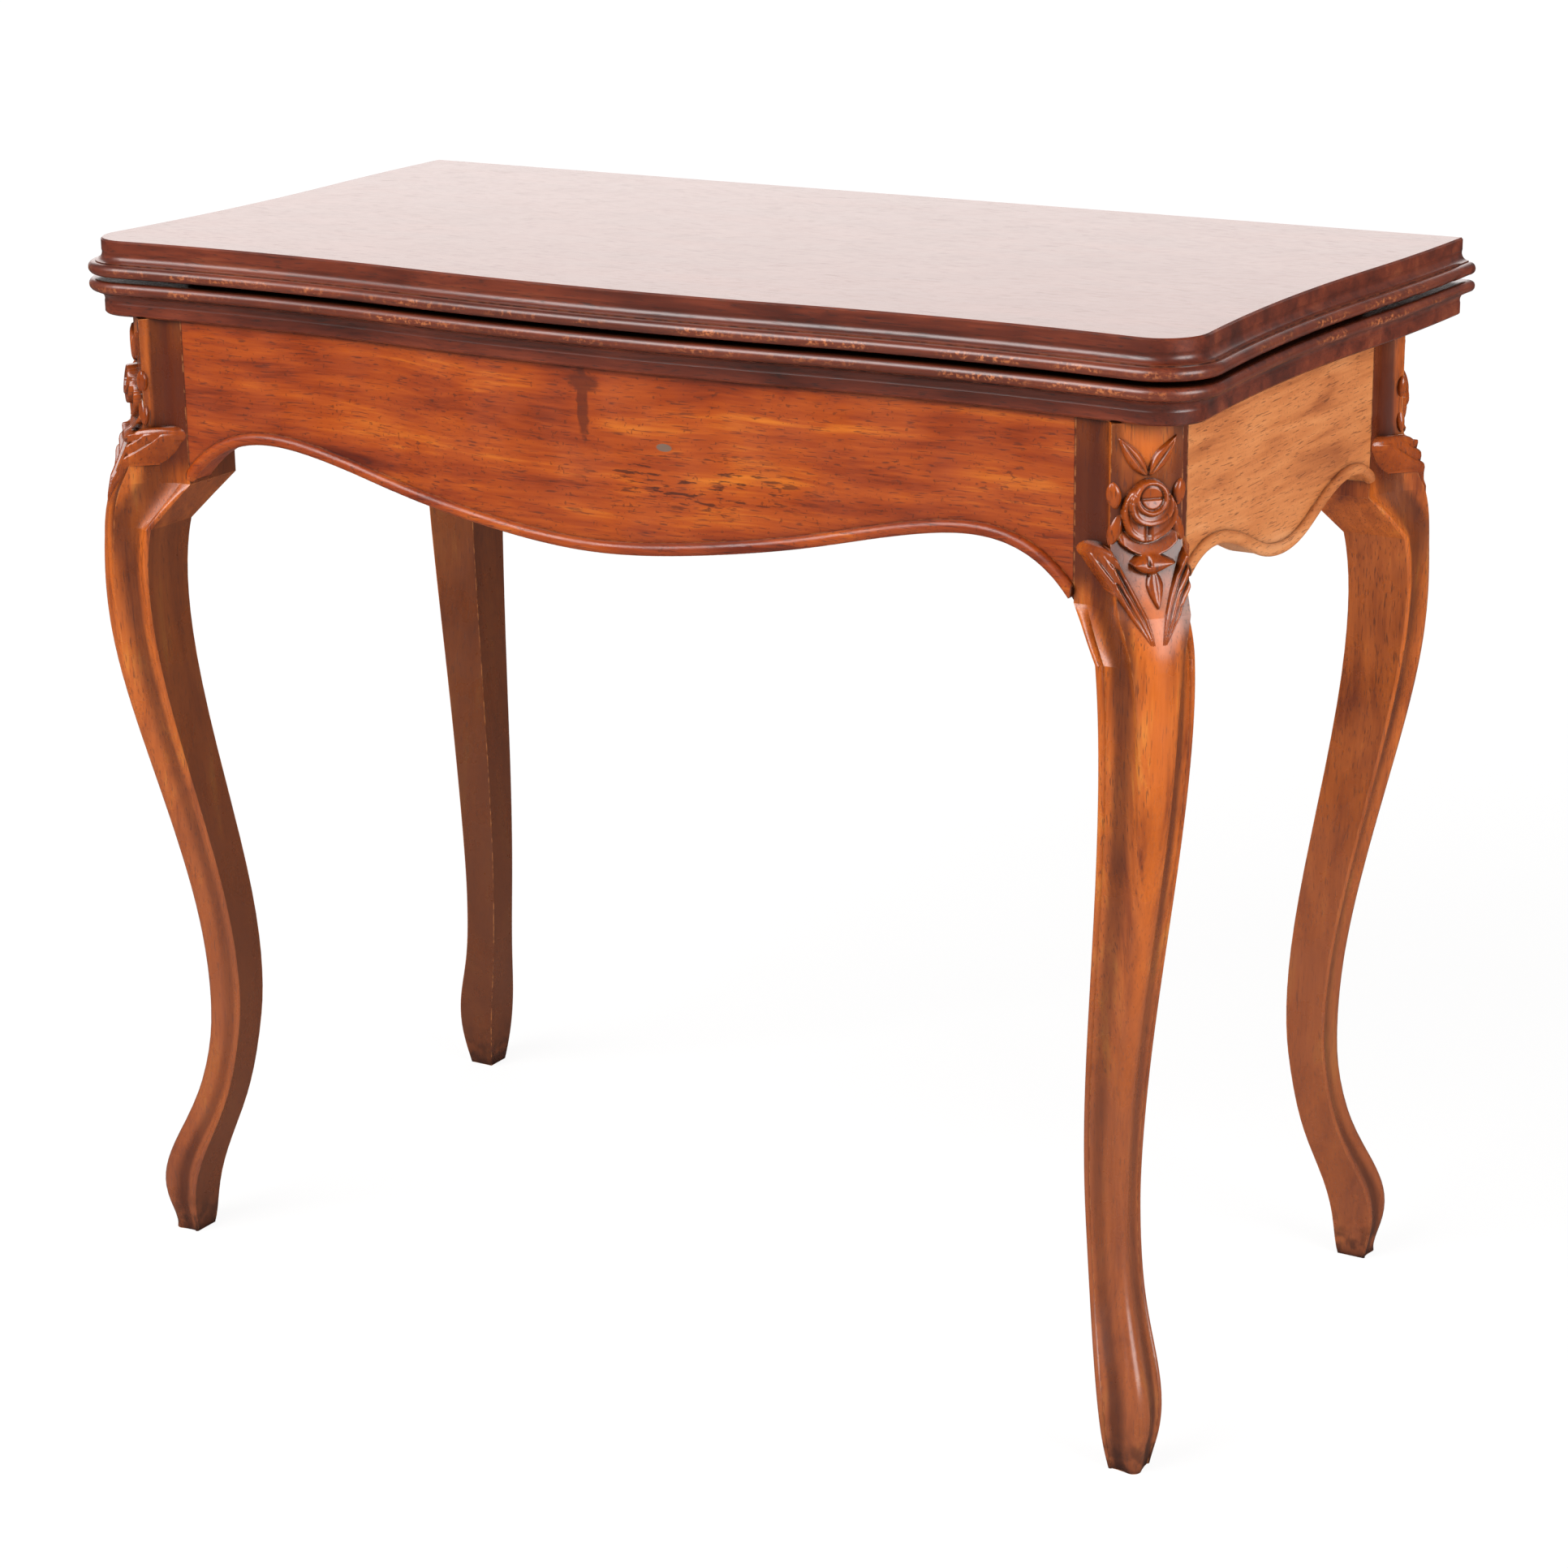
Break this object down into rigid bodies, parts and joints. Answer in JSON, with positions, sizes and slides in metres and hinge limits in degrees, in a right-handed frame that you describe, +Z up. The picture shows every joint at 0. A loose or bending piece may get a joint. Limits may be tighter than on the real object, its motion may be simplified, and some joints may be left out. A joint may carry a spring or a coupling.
{
  "type": "folding card table",
  "caption": "Swivel-top card table on cabriole legs; the folded leaves turn a quarter, uncover a well and open on double-pin hinges to a square baize top",
  "frame": {"origin": "on the floor, under the middle of the table", "axes": "+X along the length of the closed top, +Y towards the back edge where the leaves are hinged, +Z up"},
  "size_m": [0.88, 0.448, 0.75],
  "materials": {
    "polished_walnut": "French-polished red-brown walnut, worn on the carved edges",
    "polished_top": "French-polished walnut, mirror-like on the show face",
    "plain_wood": "unpolished inside wood, planed",
    "brass": "worn drawn brass",
    "iron": "dark forged iron",
    "baize": "green wool baize"
  },
  "bodies": {
    "frame": {"leg_front_left": "polished_walnut", "leg_front_right": "polished_walnut", "leg_back_left": "polished_walnut", "leg_back_right": "polished_walnut", "front_rail": "polished_walnut", "back_rail": "polished_walnut", "left_rail": "polished_walnut", "right_rail": "polished_walnut", "pivot_bearer": "plain_wood", "bearer_blocks": "plain_wood", "pivot_bush": "brass", "well_divider": "plain_wood", "well_bottom": "plain_wood", "well_cleats": "plain_wood"},
    "lower_leaf_assembly": {"lower_leaf": "polished_top", "baize_lower": "baize", "pivot_plate": "iron", "pivot_spindle": "iron", "pivot_washer": "iron", "pivot_nut": "iron", "pivot_screws": "iron", "stop_peg": "plain_wood", "stop_screw": "brass", "hinge_plates_lower": "brass", "hinge_pins_lower": "brass", "hinge_screws_lower": "brass"},
    "links": {"hinge_links": "brass"},
    "upper_leaf_assembly": {"upper_leaf": "polished_top", "baize_upper": "baize", "hinge_plates_upper": "brass", "hinge_pins_upper": "brass", "hinge_screws_upper": "brass"}
  },
  "joints": [
    {"name": "swivel", "type": "hinge", "parent": "frame", "child": "lower_leaf_assembly", "pos_m": [0.1115, 0.1115, 0.6967], "axis": [0, 0, 1], "range_deg": [0, 90]},
    {"name": "link_fold", "type": "hinge", "parent": "lower_leaf_assembly", "child": "links", "pos_m": [0, 0.21865, 0.719], "axis": [-1, 0, 0], "range_deg": [0, 90]},
    {"name": "leaf_fold", "type": "hinge", "parent": "links", "child": "upper_leaf_assembly", "pos_m": [0, 0.21865, 0.728], "axis": [-1, 0, 0], "range_deg": [0, 90]}
  ]
}
